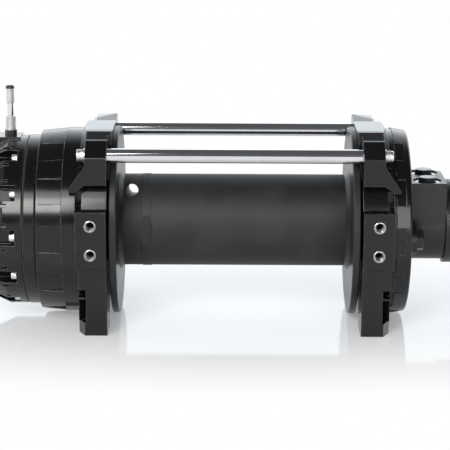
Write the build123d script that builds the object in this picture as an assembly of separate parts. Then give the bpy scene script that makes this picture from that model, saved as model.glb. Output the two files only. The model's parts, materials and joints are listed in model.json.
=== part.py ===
from build123d import *
import os
from math import acos, asin, atan2, cos, dist, pi, radians, sin, tan

# The drum turns about the X axis. Pieces are drawn with that axis at height zero and lifted at the end,
# so that the feet stand on Z = 0 with the origin in the middle of the base bolt pattern.

# Bolt patterns (mm)
bolt_from_bracket_face = 14.3
base_bolt_spacing_y = 114.3
base_hole_d = 11.0
front_hole_spacing_z = 26.0
front_hole_rise = 0.8
front_tap_d = 8.5
front_tap_depth = 24.0
front_countersink_d = 10.7

# Cutters run past the faces they open, and tapped holes run past their screws
overcut = 1.0
tap_runout = 1.0

# Drum
drum_length = 208.8
drum_d = 84.0
drum_wall = 9.0
drum_flange_d = 172.0
drum_flange_thickness = 6.3
drum_weld_leg = 4.0
drum_to_bracket = 2.0
rope_hole_d = 11.5
rope_hole_from_flange = 11.5
rope_hole_chord = 28.0
rope_hole_tilt = 9.0
band_from_flange = 24.4
band_width = 8.0
band_height = 0.4
dimple_cutter_r = 12.0
dimple_depth = 1.6

# Drum hubs, bushes and seals
journal_d = 72.0
hub_depth_in_drum = 18.4
hub_end_gap = 1.0
bush_wall = 3.5
bush_length = 22.0
seal_width = 4.0
seal_depth = 3.5
hub_socket_across_flats = 38.0
hub_socket_clearance = 0.1
running_clearance = 0.04
shaft_clearance = 1.5

# Side brackets, heights from the drum axis
bracket_step = 0.3
pad_stand_off = 5.5
floor_gap = 1.3
pad_low = -25.0
pad_high = 27.0
pad_width = 27.9
foot_step = 6.0
foot_width = 25.8
foot_back_margin = 7.15
nose_ahead_of_rod = 15.0
nose_below_rod = 24.0
nose_above_rod = 0.5
nose_width = 18.9
brow_behind_rod = 2.5
brow_above_rod = 12.9
brow_ledge = 3.5
crown_behind_rod = 19.0
crown_above_rod = 18.3
saddle_behind_rod = 41.0
saddle_above_rod = 15.5
crown_lip = 3.0
lip_clearance = 0.6
crown_inset = 3.8
crown_fall = 1.8
crown_drop = 4.5
lug_root_behind_rod = 10.0
lug_edge_r = 3.0
arch_r = 48.0
arch_sink = 10.0
window_slot_width = 5.4
window_slot_from_seat = 3.3
window_slot_depth = 24.0
foot_plate = 11.7
nut_slot_height = 11.0
nut_slot_width = 20.0
nut_slot_reach = 10.5
corner_notch_width = 7.0
corner_notch_top = -45.0
corner_rib_low = -53.7
corner_rib = 1.5
corner_notch_depth = 14.0
corner_notch_slant = 35.0
foot_corner_width = 6.5
foot_corner_length = 16.0
gusset_below_rod = 6.5
gusset_end_drop = 4.0
gusset_end_height = 2.5
gusset_reach = 14.5
gusset_thickness = 12.0
gear_bracket_width = 40.0
shoulder_rise = 8.0
shoulder_flat = 1.8
shoulder_width = 6.0
motor_bracket_width = 29.8
cover_clearance = 0.5

# Tie rods and their screws
tie_rod_d = 12.7
tie_rod_stand_off = 11.4
tie_rod_angle = 48.1
tie_screw_d = 6.0
tie_screw_hole_d = 6.6
tie_screw_head_d = 10.6
tie_screw_head = 6.2
tie_screw_grip = 15.0
tie_washer_d = 12.4
tie_washer = 1.6
hex_socket_share = 0.46
hex_socket_depth_share = 0.55
hex_top_share = 0.95
hex_corner_angle = 30.0
head_clearance = 0.8

# Gearbox shells
ring_housing_width = 24.5
housing_step = 4.6
housing_taper = 2.3
housing_chamfer_width = 1.8
housing_chamfer_drop = 3.8
panel_count = 12
panel_fade = 0.1
panel_width = 24.0
spacer_width = 10.0
spacer_step = 0.3
gasket_thickness = 0.8
cover_length = 44.0
cover_bolt_wall = 8.525
cover_bolt_inset = 4.3
cover_flange = 6.4
cover_straight = 17.0
cover_taper = 15.3
cover_edge = 6.0
cover_end_wall = 12.0
cover_bolt_count = 12
cover_bolt_d = 5.0
cover_bolt_hole_d = 5.5
cover_bolt_head_d = 8.5
cover_bolt_head = 5.0
cover_bolt_grip = 9.0
channel_width = 14.0
channel_floor_gap = 0.3
flute_angle = 8.5
flute_width = 3.0
flute_depth = 3.0
flute_from_seat = 7.5
platform_width = 24.0
platform_rise = 1.2
platform_length = 26.0
edge_break = 0.8

# Gears: two planetary stages in one ring
module = 2.3
pressure_angle = 25.0
tooth_thinning = 0.25
root_clearance = 0.25
ring_teeth = 48
ring_rim = 6.4
sun_1_teeth = 12
sun_2_teeth = 18
planet_count = 3
planet_1_width = 14.0
planet_2_width = 22.0
planet_gap = 1.6
pin_1_d = 11.0
pin_2_d = 13.0
carrier_1_plate = 8.0
carrier_2_plate = 9.0
carrier_to_ring = 3.9
carrier_recess = 3.5
retainer_plate = 3.0
ring_overhang = 4.5
ring_side_gap = 0.2
ring_fit = 0.05
sun_2_hub_d = 32.0
lip_depth = 4.0

# Free-spool plunger
plunger_from_seat = 9.9
pin_tip_d = 6.4
pin_tip_engagement = 4.0
pin_tip_gap = 0.5
notch_clearance = 0.5
bush_d = 9.4
bush_foot_step = 0.5
bush_rise = 17.7
bush_foot_gap = 0.7
bush_roof = 1.5
chamber_d = 7.6
chamber_rise = 1.5
collar_height = 2.0
collar_clearance = 0.32
stem_d = 4.0
guide_clearance = 0.08
lock_nut_d = 11.0
lock_nut_height = 4.6
waist_d = 5.6
waist_length = 11.5
knob_d = 7.3
knob_length = 13.6
knob_cap_overhang = 0.3
knob_cap_height = 2.6
knob_cap_round = 1.9
knob_rest_gap = 0.3
spring_wire_d = 0.9
spring_r = 3.05
spring_turns = 5
spring_points_per_turn = 24
spring_seat_gap = 0.05

# Hydraulic motor
shaft_d = 15.0
coupling_d = 28.0
coupling_length = 26.0
motor_cover_width = 13.8
motor_cover_step = 1.0
motor_cover_taper = 2.3
motor_cover_round = 2.5
motor_panel_width = 8.5
motor_panel_depth = 1.6
motor_cover_screw_count = 6
motor_cover_screw_circle_r = 66.0
motor_cover_screw_d = 6.0
motor_cover_screw_hole_d = 6.6
motor_cover_screw_head_d = 10.0
motor_cover_screw_head = 6.0
motor_cover_screw_grip = 11.0
pilot_d = 82.5
pilot_depth = 6.0
pilot_clearance = 0.05
motor_flange_thickness = 6.4
motor_ear_y = 53.0
motor_ear_r = 13.0
motor_ear_turn = 6.0
motor_bolt_d = 10.0
motor_bolt_hole_d = 10.8
motor_bolt_across_flats = 17.0
motor_bolt_head = 6.4
port_block_length = 28.7
port_block_front = 35.0
port_block_rear = 28.5
port_face = 42.0
port_block_low = 0.0
port_block_chamfer = 9.0
motor_body_r = 35.2
port_from_flange = 11.9
port_spacing_y = 35.0
port_shift_y = -2.9
port_d = 16.4
port_depth = 14.0
spot_face_d = 25.6
spot_face_depth = 2.2
gallery_d = 7.0
passage_d = 6.0
passage_spacing_y = 31.0
passage_z = 8.0
plug_across_flats = 14.4
plug_head = 5.6
plug_turn = 20.0
plug_length = 10.0
plug_clearance = 0.2
bearing_d = 26.0
bearing_width = 10.0
bearing_from_flange = 2.4
shaft_seal_width = 5.0
shaft_seal_d = 26.0
gerotor_width = 34.0
gerotor_case_r = 38.3
gerotor_lobe_circle_r = 19.5
gerotor_lobe_r = 5.2
gerotor_offset = 2.2
gerotor_outer_lobes = 7
gerotor_root_r = 19.3
gerotor_outer_r = 25.0
gerotor_clearance = 0.25
gerotor_bunching = 0.85
gerotor_points_per_lobe = 18
gerotor_side_gap = 0.3
motor_cap_length = 20.0
motor_cap_round = 5.0
motor_case_bolt_count = 6
motor_case_bolt_circle_r = 31.5
motor_case_bolt_d = 5.0
motor_case_bolt_hole_d = 5.4
motor_case_bolt_head_d = 8.5
motor_case_bolt_head = 5.0
motor_case_bolt_grip = 12.0
shaft_end_depth = 8.0
shaft_end_gap = 1.0

# Places along X, the gear side negative
flange_in = drum_length / 2
flange_out = flange_in + drum_flange_thickness
bracket_in = flange_out + drum_to_bracket
nose_seat = bracket_in + nose_width
pad_out = bracket_in + pad_width
foot_out = bracket_in + foot_width
bolt_x = bracket_in + bolt_from_bracket_face
gear_out = -bracket_in - gear_bracket_width
housing_out = gear_out - ring_housing_width
spacer_out = housing_out - spacer_width
gasket_out = spacer_out - gasket_thickness
bolt_seat = gasket_out - cover_flange
cover_out = gasket_out - cover_length
carrier_2_right = gear_out + carrier_recess
carrier_2_left = carrier_2_right - carrier_2_plate
planet_2_right = carrier_2_left - planet_gap
planet_2_left = planet_2_right - planet_2_width
carrier_1_right = planet_2_left - planet_gap
carrier_1_left = carrier_1_right - carrier_1_plate
planet_1_right = carrier_1_left - planet_gap
planet_1_left = planet_1_right - planet_1_width
retainer_right = planet_1_left - planet_gap
retainer_left = retainer_right - retainer_plate
ring_right = planet_2_right + ring_side_gap
ring_left = planet_1_left - ring_overhang
plunger_x = bolt_seat - plunger_from_seat
hub_end = bracket_in + motor_bracket_width - hub_end_gap
motor_bracket_out = bracket_in + motor_bracket_width
motor_cover_out = motor_bracket_out + motor_cover_width
motor_flange_out = motor_cover_out + motor_flange_thickness
port_block_out = motor_flange_out + port_block_length
gerotor_out = port_block_out + gerotor_width
motor_cap_out = gerotor_out + motor_cap_length
port_x = motor_flange_out + port_from_flange

# Radii that follow from the gears, out to the brackets' round bodies
ring_pitch_r = module * ring_teeth / 2
ring_root_r = ring_pitch_r + module * (1 + root_clearance)
ring_tip_r = ring_pitch_r - module
ring_outer_r = ring_root_r + ring_rim
carrier_r = ring_tip_r - carrier_to_ring
planet_1_teeth = (ring_teeth - sun_1_teeth) // 2
planet_2_teeth = (ring_teeth - sun_2_teeth) // 2
stage_1_r = module * (sun_1_teeth + planet_1_teeth) / 2
stage_2_r = module * (sun_2_teeth + planet_2_teeth) / 2
cover_bolt_circle_r = ring_outer_r + cover_bolt_wall
cover_d = 2 * (cover_bolt_circle_r + cover_bolt_inset)
cover_end_d = cover_d - 2 * cover_taper
channel_floor_r = cover_bolt_circle_r - cover_bolt_head_d / 2 - channel_floor_gap
spacer_d = cover_d + 2 * spacer_step
housing_outer_r = cover_d / 2 + housing_step
housing_inner_r = housing_outer_r + housing_taper
panel_floor_r = housing_outer_r + panel_fade
round_d = 2 * (housing_inner_r + bracket_step)
motor_cover_d = round_d + 2 * motor_cover_step
motor_cover_end_d = motor_cover_d - 2 * motor_cover_taper
bush_r = journal_d / 2 + bush_wall
shaft_hole_r = shaft_d / 2 + shaft_clearance

# Heights and depths from the drum axis: the feet reach below the widest piece, the rods stand outside it
widest_r = max(drum_flange_d, round_d) / 2
axis_height = widest_r + floor_gap
tie_rod_y = (widest_r + tie_rod_stand_off) * cos(radians(tie_rod_angle))
tie_rod_z = (widest_r + tie_rod_stand_off) * sin(radians(tie_rod_angle))
nose_front = tie_rod_y + nose_ahead_of_rod
nose_low = tie_rod_z - nose_below_rod
nose_high = tie_rod_z + nose_above_rod
brow_y = tie_rod_y - brow_behind_rod
brow_z = tie_rod_z + brow_above_rod
crown_y = tie_rod_y - crown_behind_rod
crown_z = tie_rod_z + crown_above_rod
saddle_y = tie_rod_y - saddle_behind_rod
saddle_z = tie_rod_z + saddle_above_rod
lug_root_y = tie_rod_y - lug_root_behind_rod
gusset_top = tie_rod_z - gusset_below_rod
gusset_end_high = nose_low - gusset_end_drop
gusset_end_low = gusset_end_high - gusset_end_height
pad_front = round_d / 2 + pad_stand_off
foot_front = pad_front - foot_step
foot_back = base_bolt_spacing_y / 2 - foot_back_margin
platform_top = cover_d / 2 + platform_rise
bush_top = platform_top + bush_rise
chamber_floor = platform_top + chamber_rise
waist_top = bush_top + knob_rest_gap + waist_length
knob_top = waist_top + knob_length


def bar(x0, x1, d, y=0.0, z=0.0):
    return Pos((x0 + x1) / 2, y, z) * Rot(0, 90, 0) * Cylinder(d / 2, abs(x1 - x0))


def ring(x0, x1, outer_d, inner_d):
    return bar(x0, x1, outer_d) - bar(x0, x1, inner_d)


def post(z0, z1, d, x=0.0, y=0.0):
    return Pos(x, y, (z0 + z1) / 2) * Cylinder(d / 2, abs(z1 - z0))


def block(x, y, z):
    middle = [(low + high) / 2 for low, high in (x, y, z)]
    return Pos(*middle) * Box(*[abs(high - low) for low, high in (x, y, z)])


def turned(*points):
    # A body turned about the drum axis from its outline of (x, radius) points.
    return revolve(Plane.XZ * make_face(Polyline(*points, close=True)), Axis.X)


def slab(face, x0, x1):
    # A face drawn in (y, z) and drawn out along X.
    return Pos(min(x0, x1), 0, 0) * extrude(Plane.YZ * face, abs(x1 - x0))


def polar(radius, angle):
    return (radius * cos(angle), radius * sin(angle))


def turned_copies(shape, count, skip=()):
    return [Rot(360 * step / count, 0, 0) * shape for step in range(count) if step not in skip]


def cap_screw(seat, way, d, length, head_d, head):
    # A socket cap screw on the X axis, its head standing off the seat and its shank going the other way.
    screw = bar(seat, seat + way * head, head_d) + bar(seat - way * length, seat, d)
    socket = RegularPolygon(head_d * hex_socket_share / 2, 6)
    deep = head * hex_socket_depth_share
    return screw - slab(socket, seat + way * (head - deep), seat + way * head)


def hex_head(across_flats, height):
    # A hexagon standing on Z = 0, its upper corners turned off to a round top.
    head = extrude(RegularPolygon(across_flats / 2, 6, major_radius=False), height)
    top_r = hex_top_share * across_flats / 2
    wide_r = across_flats / 2 / cos(pi / 6) + overcut
    drop = (wide_r - top_r) * tan(radians(hex_corner_angle))
    outline = [(0, 0), (wide_r, 0), (wide_r, height - drop), (top_r, height), (0, height)]
    return head & revolve(Plane.XZ * make_face(Polyline(*outline, close=True)), Axis.Z)


def gear_face(teeth, root_r, tip_r, thinning):
    # Involute flanks as arcs through three points. Below the base circle they run straight to the root.
    pressure = radians(pressure_angle)
    pitch_r = module * teeth / 2
    base_r = pitch_r * cos(pressure)
    start_r = max(root_r, base_r)

    def half_angle(radius):
        here = acos(base_r / radius)
        return (pi / teeth - thinning / pitch_r) / 2 + tan(pressure) - pressure - tan(here) + here

    flank = [start_r, (start_r + tip_r) / 2, tip_r]
    edges = []
    for tooth in range(teeth):
        middle = 2 * pi * tooth / teeth
        rise = [polar(r, middle - half_angle(r)) for r in flank]
        fall = [polar(r, middle + half_angle(r)) for r in reversed(flank)]
        root_in = polar(root_r, middle - half_angle(start_r))
        root_out = polar(root_r, middle + half_angle(start_r))
        root_middle = polar(root_r, middle + pi / teeth)
        root_next = polar(root_r, middle + 2 * pi / teeth - half_angle(start_r))
        if start_r > root_r:
            edges.append(Line(root_in, rise[0]))
        edges.append(ThreePointArc(*rise))
        edges.append(ThreePointArc(rise[-1], polar(tip_r, middle), fall[0]))
        edges.append(ThreePointArc(*fall))
        if start_r > root_r:
            edges.append(Line(fall[-1], root_out))
        edges.append(ThreePointArc(root_out, root_middle, root_next))
    return make_face(edges)


def spur_gear(teeth, x0, x1, bore_d):
    pitch_r = module * teeth / 2
    face = gear_face(teeth, pitch_r - module * (1 + root_clearance), pitch_r + module, tooth_thinning)
    return slab(face - Circle(bore_d / 2), x0, x1)


def planets(teeth, stage_r, x0, x1, pin_d):
    # Each planet is turned so that one of its teeth fills the ring's gap beyond it.
    gear = spur_gear(teeth, x0, x1, pin_d + 2 * running_clearance)
    for step in range(planet_count):
        angle = 360 * step / planet_count
        y, z = polar(stage_r, radians(angle))
        yield Pos(0, y, z) * Rot(angle * (1 - ring_teeth / teeth), 0, 0) * gear


def planet_pins(stage_r, x0, x1, d):
    return turned_copies(bar(x0, x1, d, y=stage_r), planet_count)


def sun_turn(sun_teeth, planet_teeth):
    # A planet with an even number of teeth points a tooth at the sun, which then needs a gap there.
    return 180 / sun_teeth if planet_teeth % 2 == 0 else 0


# Side brackets


def lug_face():
    front = [
        (-nose_front, nose_low),
        (-nose_front, nose_high),
        (-brow_y, brow_z),
        (brow_ledge - brow_y, brow_z),
        (-crown_y, crown_z),
        (-saddle_y, saddle_z),
    ]
    rear = [(-y, z) for y, z in reversed(front)]
    face = make_face(Polyline((-lug_root_y, nose_low), *front, *rear, (lug_root_y, nose_low), close=True))
    # All corners are rounded but the four along the lower edge.
    return fillet(face.vertices().sort_by(Axis.Y)[4:], lug_edge_r)


def shoulder():
    # Eases the top of the lugs down to the round body, between the heads of the tie rod screws.
    high = round_d / 2 + shoulder_rise
    cone = turned(
        (nose_seat, 0),
        (nose_seat, high),
        (nose_seat + shoulder_flat, high),
        (nose_seat + shoulder_width, round_d / 2),
        (nose_seat + shoulder_width, 0),
    )
    half = tie_rod_y - tie_washer_d
    return cone & block((nose_seat, nose_seat + shoulder_width), (-half, half), (nose_low, saddle_z))


def eased(prism, side):
    # Breaks the edges round the face that looks to the front, or to the rear.
    outer = prism.faces().sort_by(Axis.Y)[0 if side < 0 else -1]
    return chamfer(outer.edges(), edge_break)


def gusset(side):
    # A web from the tie rod lug down and out across the round body.
    outline = [
        (nose_seat - nose_width / 2, gusset_top),
        (nose_seat, gusset_top),
        (nose_seat + gusset_reach, gusset_end_high),
        (nose_seat + gusset_reach, gusset_end_low),
        (nose_seat + gusset_reach - window_slot_width, gusset_end_low),
        (nose_seat, nose_low),
        (nose_seat - nose_width / 2, nose_low),
    ]
    web = extrude(Plane.XZ * make_face(Polyline(*outline, close=True)), gusset_thickness)
    return Pos(0, -nose_front + gusset_thickness, 0) * web if side < 0 else Pos(0, nose_front, 0) * web


def corner_notch(side, low, high):
    # Cut into the outer corner of a foot, with a back wall that slants away inward.
    inner = foot_out - corner_notch_width
    outer = foot_out + overcut
    front = side * (foot_front + overcut)
    outer_depth = corner_notch_depth - (outer - inner) * tan(radians(corner_notch_slant))
    outline = [
        (inner, front),
        (outer, front),
        (outer, side * (foot_front - outer_depth)),
        (inner, side * (foot_front - corner_notch_depth)),
    ]
    return Pos(0, 0, low) * extrude(make_face(Polyline(*outline, close=True)), high - low)


def foot_cuts(side):
    # Bolt hole, nut slot above the foot plate, and two notches in the outer corner with a rib between.
    y_bolt = side * base_bolt_spacing_y / 2
    plate_top = foot_plate - axis_height
    outside = bracket_in + gear_bracket_width + overcut
    yield post(-axis_height - overcut, plate_top + overcut, base_hole_d, bolt_x, y_bolt)
    slot_y = (y_bolt - nut_slot_width / 2, y_bolt + nut_slot_width / 2)
    yield block((bolt_x - nut_slot_reach, outside), slot_y, (plate_top, plate_top + nut_slot_height))
    yield corner_notch(side, corner_rib_low + corner_rib, corner_notch_top)
    yield corner_notch(side, plate_top, corner_rib_low)
    front = side * (foot_front + overcut)
    corner = [
        (foot_out - foot_corner_width, front),
        (foot_out + overcut, front),
        (foot_out + overcut, side * (foot_front - foot_corner_length)),
    ]
    yield Pos(0, 0, -axis_height) * extrude(make_face(Polyline(*corner, close=True)), foot_plate)


def bracket_casting(out):
    body = bar(bracket_in, out, round_d) + slab(lug_face(), bracket_in, nose_seat)
    between_rods = tie_rod_y - tie_rod_d
    lip_x = (bracket_in - crown_lip, bracket_in)
    lip = slab(lug_face(), *lip_x)
    lip &= block(lip_x, (-between_rods, between_rods), (nose_high, 2 * nose_high))
    body += lip - bar(*lip_x, drum_flange_d + 2 * lip_clearance)
    for side in (-1, 1):
        pad_y = (side * foot_back, side * pad_front)
        foot_y = (side * foot_back, side * foot_front)
        body += eased(block((bracket_in, pad_out), pad_y, (pad_low, pad_high)), side)
        body += eased(block((bracket_in, foot_out), foot_y, (-axis_height, pad_low)), side)
        body += gusset(side)
    return body + shoulder()


def front_taps():
    for level in (-0.5, 0.5):
        z = front_hole_rise + level * front_hole_spacing_z
        seat = Plane(origin=(bolt_x, -pad_front, z), z_dir=(0, 1, 0))
        sink = (front_countersink_d - front_tap_d) / 2
        yield seat * Pos(0, 0, front_tap_depth / 2) * Cylinder(front_tap_d / 2, front_tap_depth)
        yield seat * Pos(0, 0, sink / 2) * Cone(front_countersink_d / 2, front_tap_d / 2, sink)


def rear_crown_cut():
    # The rear crown falls a little outward and stops short of the screw seat, where the lug steps down.
    outline = [
        (bracket_in - crown_lip, crown_z),
        (bracket_in - crown_lip, 2 * crown_z),
        (nose_seat + shoulder_width, 2 * crown_z),
        (nose_seat + shoulder_width, saddle_z),
        (nose_seat - crown_inset, saddle_z),
        (nose_seat - crown_inset, crown_z - crown_fall),
    ]
    top = Pos(0, nose_front, 0) * extrude(Plane.XZ * make_face(Polyline(*outline, close=True)), nose_front)
    step_x = (nose_seat - crown_inset, nose_seat + shoulder_width)
    return top + block(step_x, (saddle_y, nose_front), (saddle_z - crown_drop, 2 * crown_z))


def bracket_cuts(out):
    start = bracket_in - overcut
    yield bar(start, nose_seat, 2 * arch_r, z=-axis_height - arch_sink)
    slot_start = nose_seat + window_slot_from_seat
    slot_x = (slot_start, slot_start + window_slot_width)
    for side in (-1, 1):
        yield from foot_cuts(side)
        slot_y = (side * (pad_front - window_slot_depth), side * (pad_front + overcut))
        yield block(slot_x, slot_y, (pad_high, gusset_end_low))
        yield bar(start, nose_seat + overcut, tie_screw_hole_d, side * tie_rod_y, tie_rod_z)
    yield rear_crown_cut()
    yield bar(out, out + gusset_reach, round_d + 2 * cover_clearance)
    yield bar(start, out + overcut, 2 * bush_r)
    yield bar(start, bracket_in + seal_width, journal_d + 2 * (bush_wall + seal_depth))
    yield from front_taps()


def bracket(width):
    # Drawn on the motor side; the gear side is its mirror image with a wider round body.
    out = bracket_in + width
    body = bracket_casting(out)
    for cut in bracket_cuts(out):
        body -= cut
    return body


def gear_side_bracket():
    body = mirror(bracket(gear_bracket_width), Plane.YZ)
    start = gear_out - overcut
    body -= bar(start, carrier_2_right + planet_gap, 2 * (carrier_r + planet_gap))
    deep = gear_out + cover_bolt_grip + tap_runout
    hole = bar(start, deep, cover_bolt_d, y=cover_bolt_circle_r)
    for cut in turned_copies(Rot(90, 0, 0) * hole, cover_bolt_count, skip=(0,)):
        body -= cut
    return body


def motor_side_bracket():
    body = bracket(motor_bracket_width)
    deep = motor_bracket_out - motor_cover_screw_grip - tap_runout
    end = motor_bracket_out + overcut
    hole = bar(deep, end, motor_cover_screw_d, y=motor_cover_screw_circle_r)
    for cut in turned_copies(hole, motor_cover_screw_count):
        body -= cut
    return body


# Tie rods


def tie_rod(side):
    rod = bar(-bracket_in, bracket_in, tie_rod_d, side * tie_rod_y, tie_rod_z)
    deep = bracket_in - tie_screw_grip - tap_runout
    for end in (-1, 1):
        rod -= bar(end * deep, end * (bracket_in + overcut), tie_screw_d, side * tie_rod_y, tie_rod_z)
    return rod


def tie_rod_screws():
    screws = []
    for end in (-1, 1):
        length = tie_washer + nose_width + tie_screw_grip
        seat = end * (nose_seat + tie_washer)
        screw = cap_screw(seat, end, tie_screw_d, length, tie_screw_head_d, tie_screw_head)
        screws += [Pos(0, side * tie_rod_y, tie_rod_z) * screw for side in (-1, 1)]
    return screws


def tie_rod_washers():
    washer = ring(nose_seat, nose_seat + tie_washer, tie_washer_d, tie_screw_hole_d)
    near = [Pos(0, side * tie_rod_y, tie_rod_z) * washer for side in (-1, 1)]
    return near + [mirror(piece, Plane.YZ) for piece in near]


# Gearbox shells


def bolt_holes(x0, x1):
    hole = bar(x0 - overcut, x1 + overcut, cover_bolt_hole_d, z=cover_bolt_circle_r)
    return turned_copies(hole, cover_bolt_count, skip=(0,))


def rim_panels(x0, x1, floor_r):
    # Shallow panels round all of a rim but its top, cut down to a floor that is round about the drum axis.
    across = (-panel_width / 2, panel_width / 2)
    panel = block((x0, x1), across, (floor_r * cos(asin(panel_width / 2 / floor_r)), 2 * floor_r))
    return turned_copies(panel - bar(x0, x1, 2 * floor_r), panel_count, skip=(0,))


def ring_housing():
    body = turned(
        (gear_out, ring_tip_r + lip_depth),
        (gear_out, housing_inner_r),
        (housing_out + housing_chamfer_width, housing_outer_r),
        (housing_out, housing_outer_r - housing_chamfer_drop),
        (housing_out, ring_outer_r + ring_fit),
        (ring_right + ring_side_gap, ring_outer_r + ring_fit),
        (ring_right + ring_side_gap, ring_tip_r + lip_depth),
    )
    for cut in rim_panels(housing_out, gear_out, panel_floor_r) + bolt_holes(housing_out, gear_out):
        body -= cut
    return body


def spacer_ring():
    body = turned(
        (housing_out, ring_outer_r + ring_fit),
        (housing_out, spacer_d / 2),
        (spacer_out + edge_break, spacer_d / 2),
        (spacer_out, spacer_d / 2 - edge_break),
        (spacer_out, ring_outer_r + ring_fit),
    )
    for cut in bolt_holes(spacer_out, housing_out):
        body -= cut
    return body


def cover_gasket():
    body = ring(gasket_out, spacer_out, spacer_d - 2 * edge_break, 2 * (ring_outer_r + ring_fit))
    for cut in bolt_holes(gasket_out, spacer_out):
        body -= cut
    return body


def gear_end_cover():
    inner_r = ring_outer_r + ring_fit
    shoulder = ring_left - ring_side_gap
    straight_end = gasket_out - cover_straight
    body = turned(
        (gasket_out, 0),
        (gasket_out, cover_d / 2 - edge_break),
        (gasket_out - edge_break, cover_d / 2),
        (straight_end, cover_d / 2),
        (cover_out + cover_edge, cover_end_d / 2 + cover_edge),
        (cover_out, cover_end_d / 2),
        (cover_out, 0),
    )
    half = platform_width / 2
    body += block((plunger_x - platform_length / 2, bolt_seat), (-half, half), (ring_outer_r, platform_top))
    body -= bar(shoulder, gasket_out + overcut, 2 * inner_r)
    body -= bar(cover_out + cover_end_wall, gasket_out + overcut, 2 * ring_root_r)
    channel = block(
        (cover_out - overcut, bolt_seat),
        (-channel_width / 2, channel_width / 2),
        (channel_floor_r, cover_d),
    )
    flute = block(
        (cover_out - overcut, bolt_seat - flute_from_seat),
        (-flute_width / 2, flute_width / 2),
        (cover_d / 2 - flute_depth, cover_d),
    )
    for cut in turned_copies(channel, cover_bolt_count, skip=(0,)):
        body -= cut
    for way in (-1, 1):
        for cut in turned_copies(Rot(way * flute_angle, 0, 0) * flute, cover_bolt_count, skip=(0,)):
            body -= cut
    for cut in bolt_holes(bolt_seat, gasket_out):
        body -= cut
    return body - post(0, 2 * platform_top, pin_bush_foot_d, plunger_x)


def cover_bolts():
    length = gear_out + cover_bolt_grip - bolt_seat
    bolt = cap_screw(bolt_seat, -1, cover_bolt_d, length, cover_bolt_head_d, cover_bolt_head)
    bolt = Pos(0, 0, cover_bolt_circle_r) * bolt
    return turned_copies(bolt, cover_bolt_count, skip=(0,))


# Gear train


def ring_gear():
    gaps = gear_face(ring_teeth, ring_tip_r, ring_root_r, -tooth_thinning)
    body = slab(Circle(ring_outer_r) - gaps, ring_left, ring_right)
    notch_floor = ring_outer_r - pin_tip_engagement - pin_tip_gap
    notch = post(notch_floor, 2 * ring_outer_r, pin_tip_d + 2 * notch_clearance, plunger_x)
    for cut in turned_copies(notch, cover_bolt_count):
        body -= cut
    return body


def carrier_1():
    body = ring(carrier_1_left, carrier_1_right, 2 * carrier_r, sun_2_hub_d)
    for pin in planet_pins(stage_1_r, carrier_1_left, carrier_1_right, pin_1_d):
        body -= pin
    return body


def carrier_1_retainer():
    body = ring(retainer_left, retainer_right, 2 * carrier_r, sun_2_hub_d)
    for pin in planet_pins(stage_1_r, retainer_left, retainer_right, pin_1_d):
        body -= pin
    return body


def sun_2():
    gear = Rot(sun_turn(sun_2_teeth, planet_2_teeth), 0, 0) * spur_gear(
        sun_2_teeth, planet_2_left - planet_gap, planet_2_right, 2 * shaft_hole_r)
    return gear + ring(carrier_1_left, carrier_1_right, sun_2_hub_d, 2 * shaft_hole_r)


def sun_1():
    gear = spur_gear(sun_1_teeth, planet_1_left, planet_1_right, shaft_d)
    return Rot(sun_turn(sun_1_teeth, planet_1_teeth), 0, 0) * gear


def socket_hexagon(clearance):
    return RegularPolygon(hub_socket_across_flats / 2 + clearance, 6, major_radius=False)


def output_carrier():
    body = bar(carrier_2_left, carrier_2_right, 2 * carrier_r)
    body += slab(socket_hexagon(0), carrier_2_right, -bracket_in)
    for pin in planet_pins(stage_2_r, carrier_2_left, carrier_2_right, pin_2_d):
        body -= pin
    return body - bar(carrier_2_left - overcut, 0, 2 * shaft_hole_r)


# Drum


def rope_hole():
    # Runs along a chord, through the tube and the hub inside it.
    place = Pos(-flange_in + rope_hole_from_flange, 0, rope_hole_chord) * Rot(90, 0, 0)
    return Rot(-rope_hole_tilt, 0, 0) * place * Cylinder(rope_hole_d / 2, 2 * drum_d)


def drum_tube():
    band_x = -flange_in + band_from_flange
    body = bar(-flange_in, flange_in, drum_d)
    body += bar(band_x - band_width / 2, band_x + band_width / 2, drum_d + 2 * band_height)
    body -= bar(-flange_in - overcut, flange_in + overcut, drum_d - 2 * drum_wall)
    body -= rope_hole()
    dimple_y = -drum_d / 2 - dimple_cutter_r + dimple_depth
    return body - post(-drum_d, drum_d, 2 * dimple_cutter_r, band_x, dimple_y)


def drum_flange(side):
    body = turned(
        (flange_in, journal_d / 2),
        (flange_in, drum_d / 2),
        (flange_in - drum_weld_leg, drum_d / 2),
        (flange_in, drum_d / 2 + drum_weld_leg),
        (flange_in, drum_flange_d / 2 - edge_break),
        (flange_in + edge_break, drum_flange_d / 2),
        (flange_out - edge_break, drum_flange_d / 2),
        (flange_out, drum_flange_d / 2 - edge_break),
        (flange_out, journal_d / 2),
    )
    return body if side > 0 else mirror(body, Plane.YZ)


def drum_hub(side):
    plug = bar(flange_in - hub_depth_in_drum, flange_in, drum_d - 2 * drum_wall)
    body = plug + bar(flange_in, hub_end, journal_d)
    body -= bar(0, hub_end + overcut, 2 * shaft_hole_r)
    if side > 0:
        well_d = coupling_d + 2 * shaft_clearance
        return body - bar(hub_end - coupling_length, hub_end + overcut, well_d)
    socket_floor = bracket_in - hub_end_gap
    socket = slab(socket_hexagon(hub_socket_clearance), socket_floor, hub_end + overcut)
    return mirror(body - socket, Plane.YZ) - rope_hole()


def drum_bush(side):
    inner_d = journal_d + 2 * running_clearance
    return ring(side * (hub_end - bush_length), side * hub_end, 2 * bush_r, inner_d)


def drum_seal(side):
    outer_d = journal_d + 2 * (bush_wall + seal_depth)
    inner_d = journal_d + 2 * running_clearance
    return ring(side * bracket_in, side * (bracket_in + seal_width), outer_d, inner_d)


# Free-spool plunger, drawn along Z at the top of the end cover

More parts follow.
